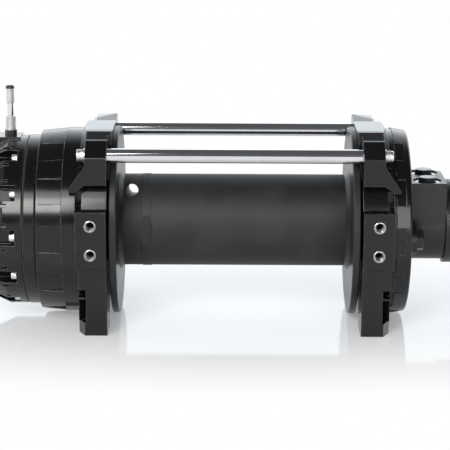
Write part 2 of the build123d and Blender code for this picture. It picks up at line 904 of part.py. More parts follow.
pin_bush_foot_d = bush_d - 2 * bush_foot_step
spring_low = chamber_floor + collar_height + spring_seat_gap
spring_high = bush_top - bush_roof - spring_seat_gap


def plunger_bush():
    foot = ring_outer_r + ring_fit + bush_foot_gap
    lock_top = platform_top + lock_nut_height
    body = post(foot, lock_top, pin_bush_foot_d, plunger_x) + post(lock_top, bush_top, bush_d, plunger_x)
    body -= post(foot - overcut, chamber_floor, pin_tip_d + 2 * guide_clearance, plunger_x)
    roof = bush_top - bush_roof
    body -= post(chamber_floor - guide_clearance, roof, chamber_d, plunger_x)
    return body - post(roof - overcut, bush_top + overcut, stem_d + 2 * guide_clearance, plunger_x)


def plunger_lock_nut():
    nut = extrude(RegularPolygon(lock_nut_d / 2, 6), lock_nut_height)
    nut -= Pos(0, 0, lock_nut_height / 2) * Cylinder(pin_bush_foot_d / 2, lock_nut_height)
    return Pos(plunger_x, 0, platform_top) * nut


def plunger_pin():
    tip = ring_outer_r - pin_tip_engagement
    collar_top = chamber_floor + collar_height
    body = post(tip, chamber_floor, pin_tip_d, plunger_x)
    body += post(chamber_floor, collar_top, chamber_d - 2 * collar_clearance, plunger_x)
    return body + post(collar_top, waist_top, stem_d, plunger_x)


def plunger_knob():
    body = post(bush_top + knob_rest_gap, waist_top, waist_d, plunger_x)
    body += post(waist_top, knob_top, knob_d, plunger_x)
    return body - post(bush_top, waist_top, stem_d, plunger_x)


def plunger_cap():
    dome = Cylinder(knob_d / 2 + knob_cap_overhang, knob_cap_height)
    dome = fillet(dome.edges().sort_by(Axis.Z)[-1], knob_cap_round)
    return Pos(plunger_x, 0, knob_top + knob_cap_height / 2) * dome


def spring_point(turn):
    rise = spring_high - spring_low - spring_wire_d
    z = spring_low + spring_wire_d / 2 + rise * turn / spring_turns
    y, x = polar(spring_r, 2 * pi * turn)
    return Vector(plunger_x + x, y, z)


def spring_heading(turn):
    rise = (spring_high - spring_low - spring_wire_d) / spring_turns
    y, x = polar(2 * pi * spring_r, 2 * pi * turn + pi / 2)
    return Vector(x, y, rise).normalized()


def plunger_spring():
    # Each quarter turn is a biarc: two arcs that share a tangent half way between its ends.
    edges = []
    for quarter in range(4 * spring_turns):
        start, end = spring_point(quarter / 4), spring_point((quarter + 1) / 4)
        leave, arrive = spring_heading(quarter / 4), spring_heading((quarter + 1) / 4)
        chord = end - start
        bend = 2 * (1 - leave.dot(arrive))
        slope = 2 * chord.dot(leave + arrive)
        reach = (-slope + (slope ** 2 + 4 * bend * chord.dot(chord)) ** 0.5) / (2 * bend)
        bend_in, bend_out = start + leave * reach, end - arrive * reach
        joint = (bend_in + bend_out) * 0.5
        edges.append(TangentArc(start, joint, tangent=leave))
        edges.append(TangentArc(joint, end, tangent=bend_out - bend_in))
    section = Plane(origin=spring_point(0), z_dir=spring_heading(0)) * Circle(spring_wire_d / 2)
    count = spring_points_per_turn
    points = [tuple(spring_point(step / count)) for step in range(count * spring_turns + 1)]
    gaps = [dist(a, b) for i, a in enumerate(points) for b in points[i + count // 2:]]
    print("plunger spring, least gap between turns:", round(min(gaps) - spring_wire_d, 2), "mm")
    return sweep(section, path=Wire(edges))


# Hydraulic motor and drive line


def drive_shaft():
    return bar(retainer_left, hub_end - coupling_length / 2, shaft_d)


def motor_shaft():
    return bar(hub_end - coupling_length / 2, gerotor_out + shaft_end_depth - shaft_end_gap, shaft_d)


def shaft_coupling():
    return ring(hub_end - coupling_length + shaft_end_gap, hub_end, coupling_d, shaft_d)


def ear_copies(shape):
    # The line through the two mounting ears is turned a little from level.
    return [Rot(motor_ear_turn, 0, 0) * copy for copy in turned_copies(shape, 2)]


def motor_end_cover():
    outer_r = motor_cover_d / 2
    start = motor_bracket_out - overcut
    end = motor_cover_out + overcut
    body = turned(
        (motor_bracket_out, 0),
        (motor_bracket_out, outer_r),
        (motor_cover_out, motor_cover_end_d / 2),
        (motor_cover_out, 0),
    )
    rim = body.edges().filter_by(GeomType.CIRCLE).sort_by(Axis.X)[-1]
    body = fillet(rim, motor_cover_round)
    for cut in rim_panels(start, motor_bracket_out + motor_panel_width, outer_r - motor_panel_depth):
        body -= cut
    body -= bar(start, end, pilot_d + 2 * pilot_clearance)
    head_seat = motor_cover_out - motor_cover_screw_head
    hole = bar(start, end, motor_cover_screw_hole_d, y=motor_cover_screw_circle_r)
    sink_d = motor_cover_screw_head_d + head_clearance
    hole += bar(head_seat, end, sink_d, y=motor_cover_screw_circle_r)
    for cut in turned_copies(hole, motor_cover_screw_count):
        body -= cut
    for cut in ear_copies(bar(start, end, motor_bolt_d, y=motor_ear_y)):
        body -= cut
    return body


def motor_cover_screws():
    seat = motor_cover_out - motor_cover_screw_head
    length = seat - motor_bracket_out + motor_cover_screw_grip
    screw = cap_screw(seat, 1, motor_cover_screw_d, length, motor_cover_screw_head_d, motor_cover_screw_head)
    return turned_copies(Pos(0, motor_cover_screw_circle_r, 0) * screw, motor_cover_screw_count)


def motor_housing():
    ear = Pos(motor_ear_y, 0) * Circle(motor_ear_r)
    ear += Pos(motor_ear_y / 2, 0) * Rectangle(motor_ear_y, 2 * motor_ear_r)
    body = bar(motor_cover_out, motor_flange_out, 2 * motor_body_r)
    for piece in ear_copies(slab(ear, motor_cover_out, motor_flange_out)):
        body += piece
    body += bar(motor_cover_out - pilot_depth, motor_cover_out, pilot_d)
    body += bar(motor_flange_out, port_block_out, 2 * motor_body_r)
    upper_y = (-port_block_front, port_block_rear)
    upper = block((motor_cover_out, port_block_out), upper_y, (port_block_low, port_face))
    rear_corner = upper.edges().filter_by(Axis.Z).sort_by(Axis.X)[-2:].sort_by(Axis.Y)[-1]
    body += chamfer(rear_corner, port_block_chamfer)
    body -= bar(0, port_block_out + overcut, shaft_d + 2 * running_clearance)
    body -= bar(0, motor_cover_out - pilot_depth + shaft_seal_width, shaft_seal_d)
    bearing_x = motor_cover_out + bearing_from_flange
    body -= bar(0, bearing_x + bearing_width, bearing_d)
    for side in (-1, 1):
        y = port_y(side)
        body -= post(port_face - spot_face_depth, port_face + overcut, spot_face_d, port_x, y)
        body -= post(port_face - port_depth, port_face, port_d, port_x, y)
        body -= post(passage_z - gallery_d, port_face, gallery_d, port_x, y)
        body -= bar(port_x, port_block_out + overcut, passage_d, side * passage_spacing_y / 2, passage_z)
    ear_hole = bar(motor_cover_out - overcut, motor_flange_out + overcut, motor_bolt_hole_d, y=motor_ear_y)
    for cut in ear_copies(ear_hole):
        body -= cut
    deep = port_block_out - motor_case_bolt_grip - tap_runout
    for cut in case_bolts(motor_case_bolt_d, deep, port_block_out + overcut):
        body -= cut
    return body


def case_bolts(d, x0, x1):
    half_step = 180 / motor_case_bolt_count
    hole = Rot(half_step, 0, 0) * bar(x0, x1, d, y=motor_case_bolt_circle_r)
    return turned_copies(hole, motor_case_bolt_count)


def motor_flange_bolts():
    length = motor_flange_thickness + motor_cover_width
    head = Pos(motor_flange_out, 0, 0) * Rot(0, 90, 0) * hex_head(motor_bolt_across_flats, motor_bolt_head)
    bolt = head + bar(motor_flange_out - length, motor_flange_out, motor_bolt_d)
    return ear_copies(Pos(0, motor_ear_y, 0) * bolt)


def port_y(side):
    return port_shift_y + side * port_spacing_y / 2


def port_plug(side):
    seat = port_face - spot_face_depth
    y = port_y(side)
    body = Pos(port_x, y, seat) * Rot(0, 0, plug_turn) * hex_head(plug_across_flats, plug_head)
    return body + post(seat - plug_length, seat, port_d - 2 * plug_clearance, port_x, y)


def motor_bearing():
    x0 = motor_cover_out + bearing_from_flange
    return ring(x0, x0 + bearing_width, bearing_d, shaft_d + 2 * running_clearance)


def motor_shaft_seal():
    x0 = motor_cover_out - pilot_depth
    return ring(x0, x0 + shaft_seal_width, shaft_seal_d, shaft_d + 2 * running_clearance)


def gerotor_housing():
    start = port_block_out - overcut
    end = gerotor_out + overcut
    body = bar(port_block_out, gerotor_out, 2 * gerotor_case_r)
    body -= bar(start, end, 2 * (gerotor_outer_r + running_clearance), z=-gerotor_offset)
    for cut in case_bolts(motor_case_bolt_hole_d, start, end):
        body -= cut
    return body


def gerotor_outer():
    # Seven round lobes point inward, joined by arcs of the root circle.
    far, near, lobe = gerotor_lobe_circle_r, gerotor_root_r, gerotor_lobe_r
    edge = acos((far ** 2 + near ** 2 - lobe ** 2) / (2 * far * near))
    step = 2 * pi / gerotor_outer_lobes
    arcs = []
    for count in range(gerotor_outer_lobes):
        middle = pi / 2 + count * step
        tip = polar(far - lobe, middle)
        arcs.append(ThreePointArc(polar(near, middle - edge), tip, polar(near, middle + edge)))
        root = [polar(near, middle + turn) for turn in (edge, step / 2, step - edge)]
        arcs.append(ThreePointArc(*root))
    body = slab(Circle(gerotor_outer_r) - make_face(arcs), *gerotor_span())
    return Pos(0, 0, -gerotor_offset) * body


def gerotor_span():
    return port_block_out + gerotor_side_gap, gerotor_out - gerotor_side_gap


def gerotor_point(turn):
    # Offset of the path that an outer lobe's centre takes past the inner rotor.
    lobes, far, shift = gerotor_outer_lobes, gerotor_lobe_circle_r, gerotor_offset
    reach = gerotor_lobe_r + gerotor_clearance
    slope_x = -far * sin(turn) + shift * lobes * sin(lobes * turn)
    slope_y = far * cos(turn) - shift * lobes * cos(lobes * turn)
    heading = atan2(slope_y, slope_x)
    x = far * cos(turn) - shift * cos(lobes * turn) - reach * sin(heading)
    y = far * sin(turn) - shift * sin(lobes * turn) + reach * cos(heading)
    return (x, y)


def gerotor_inner():
    # Points are bunched in the valleys, where the outline bends most.
    lobes = gerotor_outer_lobes - 1
    count = gerotor_points_per_lobe * lobes
    turns = [2 * pi * step / count for step in range(count)]
    points = [gerotor_point(turn - gerotor_bunching * sin(lobes * turn) / lobes) for turn in turns]
    face = make_face(Spline(*points, periodic=True)) - Circle(shaft_d / 2)
    return Rot(90, 0, 0) * slab(face, *gerotor_span())


def motor_end_cap():
    start = gerotor_out - overcut
    end = motor_cap_out + overcut
    body = bar(gerotor_out, motor_cap_out, 2 * gerotor_case_r)
    rim = body.edges().filter_by(GeomType.CIRCLE).sort_by(Axis.X)[-1]
    body = chamfer(rim, motor_cap_round)
    body -= bar(start, gerotor_out + shaft_end_depth, shaft_d + 2 * running_clearance)
    seat = motor_cap_out - motor_case_bolt_head
    for cut in case_bolts(motor_case_bolt_hole_d, start, end):
        body -= cut
    for cut in case_bolts(motor_case_bolt_head_d + head_clearance, seat, end):
        body -= cut
    return body


def motor_case_bolts():
    seat = motor_cap_out - motor_case_bolt_head
    length = seat - port_block_out + motor_case_bolt_grip
    bolt = cap_screw(seat, 1, motor_case_bolt_d, length, motor_case_bolt_head_d, motor_case_bolt_head)
    bolt = Rot(180 / motor_case_bolt_count, 0, 0) * Pos(0, motor_case_bolt_circle_r, 0) * bolt
    return turned_copies(bolt, motor_case_bolt_count)


def assembly():
    yield "gear_side_bracket", gear_side_bracket()
    yield "motor_side_bracket", motor_side_bracket()
    yield "tie_rod_front", tie_rod(-1)
    yield "tie_rod_rear", tie_rod(1)
    yield "tie_rod_screws", tie_rod_screws()
    yield "tie_rod_washers", tie_rod_washers()
    yield "ring_housing", ring_housing()
    yield "spacer_ring", spacer_ring()
    yield "cover_gasket", cover_gasket()
    yield "gear_end_cover", gear_end_cover()
    yield "cover_bolts", cover_bolts()
    yield "ring_gear", ring_gear()
    yield "carrier_1", carrier_1()
    yield "carrier_1_retainer", carrier_1_retainer()
    yield "carrier_1_pins", planet_pins(stage_1_r, retainer_left, carrier_1_right, pin_1_d)
    yield "sun_1", sun_1()
    yield "sun_2", sun_2()
    stage_1 = planets(planet_1_teeth, stage_1_r, planet_1_left, planet_1_right, pin_1_d)
    stage_2 = planets(planet_2_teeth, stage_2_r, planet_2_left, planet_2_right, pin_2_d)
    for letter, gear in zip("abc", stage_1):
        yield "planet_1_" + letter, gear
    for letter, gear in zip("abc", stage_2):
        yield "planet_2_" + letter, gear
    yield "output_carrier", output_carrier()
    yield "output_carrier_pins", planet_pins(stage_2_r, planet_2_left, carrier_2_right, pin_2_d)
    yield "drum_tube", drum_tube()
    for name, side in (("gear_side", -1), ("motor_side", 1)):
        yield "drum_flange_" + name, drum_flange(side)
        yield "drum_hub_" + name, drum_hub(side)
        yield "drum_bush_" + name, drum_bush(side)
        yield "drum_seal_" + name, drum_seal(side)
    yield "plunger_bush", plunger_bush()
    yield "plunger_lock_nut", plunger_lock_nut()
    yield "plunger_pin", plunger_pin()
    yield "plunger_knob", plunger_knob()
    yield "plunger_cap", plunger_cap()
    yield "plunger_spring", plunger_spring()
    yield "drive_shaft", drive_shaft()
    yield "shaft_coupling", shaft_coupling()
    yield "motor_shaft", motor_shaft()
    yield "motor_end_cover", motor_end_cover()
    yield "motor_cover_screws", motor_cover_screws()
    yield "motor_housing", motor_housing()
    yield "motor_flange_bolts", motor_flange_bolts()
    yield "front_port_plug", port_plug(-1)
    yield "rear_port_plug", port_plug(1)
    yield "motor_bearing", motor_bearing()
    yield "motor_shaft_seal", motor_shaft_seal()
    yield "gerotor_housing", gerotor_housing()
    yield "gerotor_outer", gerotor_outer()
    yield "gerotor_inner", gerotor_inner()
    yield "motor_end_cap", motor_end_cap()
    yield "motor_case_bolts", motor_case_bolts()


os.makedirs("parts", exist_ok=True)
for name, shape in assembly():
    solids = shape if isinstance(shape, list) else [shape]
    lifted = [Pos(0, 0, axis_height) * solid for solid in solids]
    export_step(Compound(children=lifted) if len(lifted) > 1 else lifted[0], "parts/" + name + ".step")
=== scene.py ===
import bpy
import bmesh
import json
import math
import numpy as np
from mathutils import Matrix, Vector


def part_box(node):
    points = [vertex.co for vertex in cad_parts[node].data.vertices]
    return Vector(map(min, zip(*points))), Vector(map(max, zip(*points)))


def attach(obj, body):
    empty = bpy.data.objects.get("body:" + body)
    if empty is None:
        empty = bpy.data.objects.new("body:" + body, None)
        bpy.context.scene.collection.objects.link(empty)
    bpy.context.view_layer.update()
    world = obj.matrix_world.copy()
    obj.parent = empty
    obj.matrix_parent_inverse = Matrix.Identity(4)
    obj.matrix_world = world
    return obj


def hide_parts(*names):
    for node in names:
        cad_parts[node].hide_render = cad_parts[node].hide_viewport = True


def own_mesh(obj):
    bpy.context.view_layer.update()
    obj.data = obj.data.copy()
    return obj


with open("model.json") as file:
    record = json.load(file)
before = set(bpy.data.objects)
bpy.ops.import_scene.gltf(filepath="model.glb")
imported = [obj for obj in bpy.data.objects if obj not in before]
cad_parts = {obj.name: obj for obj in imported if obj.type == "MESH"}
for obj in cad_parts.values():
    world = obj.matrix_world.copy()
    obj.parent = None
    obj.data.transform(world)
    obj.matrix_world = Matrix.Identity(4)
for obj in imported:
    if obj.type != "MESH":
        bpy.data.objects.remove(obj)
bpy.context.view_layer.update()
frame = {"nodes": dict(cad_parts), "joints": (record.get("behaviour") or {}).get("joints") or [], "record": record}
nodes = frame["nodes"]
record = frame["record"]
mm = 0.001


def named(items, name):
    return next(item for item in items if item["name"] == name)


axisZ = named(frame["joints"], "drum_spin")["pos_m"][2]  # height of the drum axis
print("frame loaded:", len(nodes), "nodes, drum axis at", axisZ)


# mesh helpers: every new piece is a grid of points worked out as whole arrays
meshForm = {"weld": 1e-7, "sliver": 1e-8, "sameSolid": 1e-6, "smoothAngle": 32, "turnedAngle": 60}


def gridQuads(rows, cols, closeRows):
    # each sample joins the next one both ways; the last column joins the first, and so do closed rows
    r = np.arange(rows if closeRows else rows - 1)[:, None]
    c = np.arange(cols)[None, :]
    r1, c1 = (r + 1) % rows, (c + 1) % cols
    corners = [r * cols + c, r * cols + c1, r1 * cols + c1, r1 * cols + c]
    return np.stack(np.broadcast_arrays(*corners), -1).reshape(-1, 4)


def meshFromGrids(name, grids, closeRows=False):
    # grids: copies x rows x cols x 3; poles and seams are welded and faces turned outwards
    copies, rows, cols = grids.shape[:3]
    quads = gridQuads(rows, cols, closeRows)
    shift = np.arange(copies)[:, None, None] * rows * cols
    faces = (quads[None] + shift).reshape(-1, 4)
    mesh = bpy.data.meshes.new(name)
    mesh.from_pydata(grids.reshape(-1, 3).tolist(), [], faces.tolist())
    shape = bmesh.new()
    shape.from_mesh(mesh)
    bmesh.ops.remove_doubles(shape, verts=shape.verts, dist=meshForm["weld"])
    bmesh.ops.dissolve_degenerate(shape, edges=shape.edges, dist=meshForm["sliver"])
    bmesh.ops.recalc_face_normals(shape, faces=shape.faces)
    shape.to_mesh(mesh)
    shape.free()
    return mesh


def linked(name, data):
    # a new object in the scene
    thing = bpy.data.objects.new(name, data)
    bpy.context.scene.collection.objects.link(thing)
    return thing


def addPiece(name, mesh, body, slot, smoothAngle=meshForm["smoothAngle"]):
    # a new piece of one finish, smooth but for its sharp edges, that rides on a body
    piece = linked(name, mesh)
    mesh.materials.append(materials[slot])
    mesh.polygons.foreach_set("use_smooth", np.ones(len(mesh.polygons), bool))
    mesh.set_sharp_from_angle(angle=math.radians(smoothAngle))
    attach(piece, body)
    return piece


def onceRound(count):
    return np.linspace(0, 2 * math.pi, count, endpoint=False)


def aboutX(x, radius, angle):
    # a point turned about the X axis: x stays, radius and angle give y and z
    return np.stack(np.broadcast_arrays(x, radius * np.cos(angle), radius * np.sin(angle)), -1)


# node helpers for the materials
edgeForm = {"samples": 6, "sharpLean": 0.80, "flatLean": 0.985}


def addNode(tree, kind, values=None, **settings):
    # values sets input sockets by name: a number or colour is set, a socket is linked
    node = tree.nodes.new(kind)
    for key, value in settings.items():
        setattr(node, key, value)
    for key, value in (values or {}).items():
        if isinstance(value, bpy.types.NodeSocket):
            tree.links.new(value, node.inputs[key])
        else:
            node.inputs[key].default_value = value
    return node


def startMaterial(name):
    material = bpy.data.materials.new(name)
    material.use_nodes = True
    tree = material.node_tree
    tree.nodes.clear()
    return material, tree, addNode(tree, "ShaderNodeTexCoord").outputs["Object"]


def noise(tree, place, scale, detail=4.0, roughness=0.55, stretch=(1, 1, 1)):
    # value noise over object coordinates, stretched along the axes for grain
    spread = addNode(tree, "ShaderNodeMapping", {"Vector": place, "Scale": stretch}).outputs["Vector"]
    values = {"Vector": spread, "Scale": scale, "Detail": detail, "Roughness": roughness}
    return addNode(tree, "ShaderNodeTexNoise", values).outputs["Fac"]


def spanTo(tree, value, low, high, start, end):
    # a value between low and high becomes one between start and end
    values = {"Value": value, "From Min": low, "From Max": high, "To Min": start, "To Max": end}
    return addNode(tree, "ShaderNodeMapRange", values).outputs["Result"]


def blendColour(tree, share, first, second):
    # the mix node keeps its two colours in sockets 6 and 7, and gives its colour in socket 2
    node = addNode(tree, "ShaderNodeMix", data_type="RGBA")
    tree.links.new(share, node.inputs["Factor"])
    for socket, value in ((node.inputs[6], first), (node.inputs[7], second)):
        if isinstance(value, bpy.types.NodeSocket):
            tree.links.new(value, socket)
        else:
            socket.default_value = (*value, 1)
    return node.outputs[2]


def roundedNormal(tree, radius):
    return addNode(tree, "ShaderNodeBevel", {"Radius": radius}, samples=edgeForm["samples"]).outputs["Normal"]


def ownNormal(tree):
    return addNode(tree, "ShaderNodeNewGeometry").outputs["Normal"]


def edgeMask(tree, rounded):
    # where a rounded normal leans away from the face's own normal there is an edge
    normals = {0: rounded, 1: ownNormal(tree)}
    lean = addNode(tree, "ShaderNodeVectorMath", normals, operation="DOT_PRODUCT").outputs["Value"]
    return spanTo(tree, lean, edgeForm["sharpLean"], edgeForm["flatLean"], 1, 0)


def finishMaterial(tree, shader):
    out = addNode(tree, "ShaderNodeOutputMaterial")
    tree.links.new(shader.outputs[0], out.inputs["Surface"])


paintForm = {"skinDetail": 2.0, "wearAndHighlightDetail": 6.0, "wearAndHighlightRoughness": 0.7, "wearAndHighlightSpan": (0.42, 0.66),
             "toneSpan": (0.35, 0.65), "glossSpan": (0.3, 0.7)}


def paintedMetal(name, look):
    # two tones of paint, uneven gloss, a fine skin, and rounded edges painted paler in patches: partly rubbed
    # wear, partly a painted highlight standing in for light caught on the edges
    material, tree, place = startMaterial(name)
    cloud = noise(tree, place, look["cloudScale"])
    stretch = look.get("stretch", (1, 1, 1))
    skin = noise(tree, place, look["skinScale"], paintForm["skinDetail"], stretch=stretch)
    rounded = roundedNormal(tree, look["edgeRadius"])
    edge = edgeMask(tree, rounded)
    spots = noise(tree, place, look["wearAndHighlightScale"], paintForm["wearAndHighlightDetail"], paintForm["wearAndHighlightRoughness"])
    # patches where the edges turn paler: partly rubbed wear, partly painted edge highlight
    wearAndHighlightPatches = spanTo(tree, spots, *paintForm["wearAndHighlightSpan"], 0, look["wearAndHighlightShare"])
    wornAndHighlit = addNode(tree, "ShaderNodeMath", {0: edge, 1: wearAndHighlightPatches}, operation="MULTIPLY").outputs[0]
    tone = spanTo(tree, cloud, *paintForm["toneSpan"], 0, 1)
    paint = blendColour(tree, tone, look["colour"], look["cloud"])
    bump = addNode(tree, "ShaderNodeBump", {
        "Height": skin, "Distance": look["skinHeight"], "Strength": 1.0, "Normal": rounded})
    shader = addNode(tree, "ShaderNodeBsdfPrincipled", {
        # the pale edge colour is partly wear and partly a painted highlight along the edges
        "Base Color": blendColour(tree, wornAndHighlit, paint, look["wearAndHighlightColour"]),
        "Roughness": spanTo(tree, cloud, *paintForm["glossSpan"], *look["roughness"]),
        "IOR": look["ior"],
        "Normal": bump.outputs["Normal"],
    })
    finishMaterial(tree, shader)
    return material


metalForm = {"grainDetail": 3.0, "stainDetail": 5.0, "toneSpan": (0.35, 0.7), "glossSpan": (0.7, 1.3)}


def bareMetal(name, look):
    # a tool grain stretched along one way, stains of roughness and softened edges; also rubber and plastic
    material, tree, place = startMaterial(name)
    grain = noise(tree, place, look["grainScale"], metalForm["grainDetail"], stretch=look["stretch"])
    stain = noise(tree, place, look["stainScale"], metalForm["stainDetail"])
    rounded = roundedNormal(tree, look["edgeRadius"]) if look["edgeRadius"] > 0 else ownNormal(tree)
    tone = spanTo(tree, stain, *metalForm["toneSpan"], 0, 1)
    uneven = addNode(tree, "ShaderNodeMath", {0: grain, 1: stain}, operation="ADD").outputs[0]
    bump = addNode(tree, "ShaderNodeBump", {
        "Height": grain, "Distance": look["grainHeight"], "Strength": 1.0, "Normal": rounded})
    shader = addNode(tree, "ShaderNodeBsdfPrincipled", {
        "Base Color": blendColour(tree, tone, look["colour"], look["stain"]),
        "Roughness": spanTo(tree, uneven, *metalForm["glossSpan"], *look["roughness"]),
        "Metallic": look.get("metallic", 1.0),
        "Normal": bump.outputs["Normal"],
    })
    finishMaterial(tree, shader)
    return material


# one look for each of the record's material slots
looks = {
    # the black paint's pale edge colour is partly rubbed wear and partly a painted highlight along the edges
    "black_paint": (paintedMetal, {
        "colour": (0.0032, 0.0033, 0.0036), "cloud": (0.0048, 0.0049, 0.0053), "cloudScale": 18,
        "skinScale": 900, "skinHeight": 0.000010, "edgeRadius": 0.0009,
        "wearAndHighlightScale": 160, "wearAndHighlightShare": 0.5, "wearAndHighlightColour": (0.38, 0.38, 0.38),
        "roughness": (0.14, 0.19), "ior": 1.45}),
    "cast_black": (paintedMetal, {
        "colour": (0.0050, 0.0050, 0.0055), "cloud": (0.0090, 0.0090, 0.0095), "cloudScale": 60,
        "skinScale": 420, "skinHeight": 0.00022, "edgeRadius": 0.0012,
        "wearAndHighlightScale": 200, "wearAndHighlightShare": 0.4, "wearAndHighlightColour": (0.10, 0.10, 0.10),
        "roughness": (0.28, 0.40), "ior": 1.5}),
    "drum_paint": (paintedMetal, {
        "colour": (0.014, 0.0145, 0.0152), "cloud": (0.026, 0.0268, 0.0280), "cloudScale": 26,
        "skinScale": 40, "skinHeight": 0.00004, "stretch": (34, 1, 1), "edgeRadius": 0.0006,
        "wearAndHighlightScale": 120, "wearAndHighlightShare": 0.3, "wearAndHighlightColour": (0.14, 0.14, 0.14),
        "roughness": (0.50, 0.58), "ior": 1.40}),
    "flange_paint": (paintedMetal, {
        "colour": (0.016, 0.0165, 0.0175), "cloud": (0.023, 0.0235, 0.0245), "cloudScale": 30,
        "skinScale": 700, "skinHeight": 0.000012, "edgeRadius": 0.0006,
        "wearAndHighlightScale": 140, "wearAndHighlightShare": 0.4, "wearAndHighlightColour": (0.22, 0.22, 0.22),
        "roughness": (0.28, 0.34), "ior": 1.33}),
    "polished_rod": (bareMetal, {
        "colour": (0.74, 0.75, 0.77), "stain": (0.66, 0.67, 0.69), "stainScale": 30,
        "grainScale": 30, "stretch": (1, 60, 60), "grainHeight": 0.0, "edgeRadius": 0.0,
        "roughness": (0.06, 0.075)}),
    "bright_screw": (bareMetal, {
        "colour": (0.78, 0.77, 0.74), "stain": (0.62, 0.61, 0.58), "stainScale": 300,
        "grainScale": 900, "stretch": (1, 1, 1), "grainHeight": 0.00001, "edgeRadius": 0.0003,
        "roughness": (0.22, 0.38)}),
    "black_screw": (bareMetal, {
        "colour": (0.030, 0.030, 0.032), "stain": (0.018, 0.018, 0.019), "stainScale": 260,
        "grainScale": 800, "stretch": (1, 1, 1), "grainHeight": 0.00001, "edgeRadius": 0.0003,
        "roughness": (0.26, 0.42), "metallic": 0.4}),
    "gear_steel": (bareMetal, {
        "colour": (0.46, 0.46, 0.47), "stain": (0.36, 0.36, 0.36), "stainScale": 90,
        "grainScale": 60, "stretch": (1, 30, 30), "grainHeight": 0.00002, "edgeRadius": 0.0003,
        "roughness": (0.24, 0.38)}),
    "machined_steel": (bareMetal, {
        "colour": (0.52, 0.52, 0.53), "stain": (0.42, 0.42, 0.43), "stainScale": 70,
        "grainScale": 40, "stretch": (40, 1, 1), "grainHeight": 0.00002, "edgeRadius": 0.0004,
        "roughness": (0.22, 0.36)}),
    "bronze": (bareMetal, {
        "colour": (0.60, 0.40, 0.17), "stain": (0.45, 0.28, 0.11), "stainScale": 80,
        "grainScale": 40, "stretch": (40, 1, 1), "grainHeight": 0.00002, "edgeRadius": 0.0003,
        "roughness": (0.26, 0.40)}),
    "seal_rubber": (bareMetal, {
        "colour": (0.018, 0.018, 0.019), "stain": (0.028, 0.028, 0.028), "stainScale": 150,
        "grainScale": 700, "stretch": (1, 1, 1), "grainHeight": 0.00002, "edgeRadius": 0.0003,
        "roughness": (0.55, 0.75), "metallic": 0.0}),
    "gasket": (bareMetal, {
        "colour": (0.035, 0.035, 0.034), "stain": (0.025, 0.025, 0.024), "stainScale": 120,
        "grainScale": 900, "stretch": (1, 1, 1), "grainHeight": 0.00003, "edgeRadius": 0.0001,
        "roughness": (0.6, 0.8), "metallic": 0.0}),
    "port_plug": (bareMetal, {
        "colour": (0.014, 0.014, 0.015), "stain": (0.020, 0.020, 0.021), "stainScale": 120,
        "grainScale": 600, "stretch": (1, 1, 1), "grainHeight": 0.00001, "edgeRadius": 0.0005,
        "roughness": (0.16, 0.28), "metallic": 0.0}),
    "plunger_grey": (bareMetal, {
        "colour": (0.78, 0.78, 0.79), "stain": (0.70, 0.70, 0.71), "stainScale": 120,
        "grainScale": 60, "stretch": (1, 1, 30), "grainHeight": 0.00001, "edgeRadius": 0.0004,
        "roughness": (0.28, 0.40), "metallic": 0.55}),
    "plunger_chrome": (bareMetal, {
        "colour": (0.80, 0.80, 0.81), "stain": (0.72, 0.72, 0.73), "stainScale": 90,
        "grainScale": 60, "stretch": (1, 1, 20), "grainHeight": 0.00001, "edgeRadius": 0.0004,
        "roughness": (0.07, 0.14)}),
    "black_plastic": (bareMetal, {
        "colour": (0.012, 0.012, 0.013), "stain": (0.018, 0.018, 0.019), "stainScale": 100,
        "grainScale": 700, "stretch": (1, 1, 1), "grainHeight": 0.00001, "edgeRadius": 0.0004,
        "roughness": (0.25, 0.38), "metallic": 0.0}),
    "spring_steel": (bareMetal, {
        "colour": (0.48, 0.48, 0.50), "stain": (0.38, 0.38, 0.40), "stainScale": 200,
        "grainScale": 300, "stretch": (1, 1, 1), "grainHeight": 0.00001, "edgeRadius": 0.0001,
        "roughness": (0.24, 0.36)}),
}
materials = {slot: make(slot, look) for slot, (make, look) in looks.items()}
for part in record["subparts"]:
    mesh = nodes[part["node"]].data
    mesh.materials.clear()
    mesh.materials.append(materials[part["material_slot"]])
print("materials:", len(materials), "finishes on", len(record["subparts"]), "nodes")


# cap screws: knurled heads with a hexagon socket, standing for the plain ones
screwForm = {"knurls": 36, "perKnurl": 4, "knurlDepth": 0.028, "edge": 0.09, "rimSteps": 5, "rimStart": 1.6,
             "socket": 0.40, "socketDepth": 0.55, "socketFlare": 1.12}


def solidBoxes(node):
    # lowest and highest corner of each loose solid of a node
    mesh = nodes[node].data
    shape = bmesh.new()
    shape.from_mesh(mesh)
    bmesh.ops.remove_doubles(shape, verts=shape.verts, dist=meshForm["sameSolid"])
    left, boxes = set(shape.verts), []
    while left:
        island, front = set(), [left.pop()]
        while front:
            vert = front.pop()
            island.add(vert)
            near = {edge.other_vert(vert) for edge in vert.link_edges} & left
            left -= near
            front.extend(near)
        points = np.array([v.co for v in island])
        boxes.append((points.min(0), points.max(0)))
    shape.free()
    return boxes


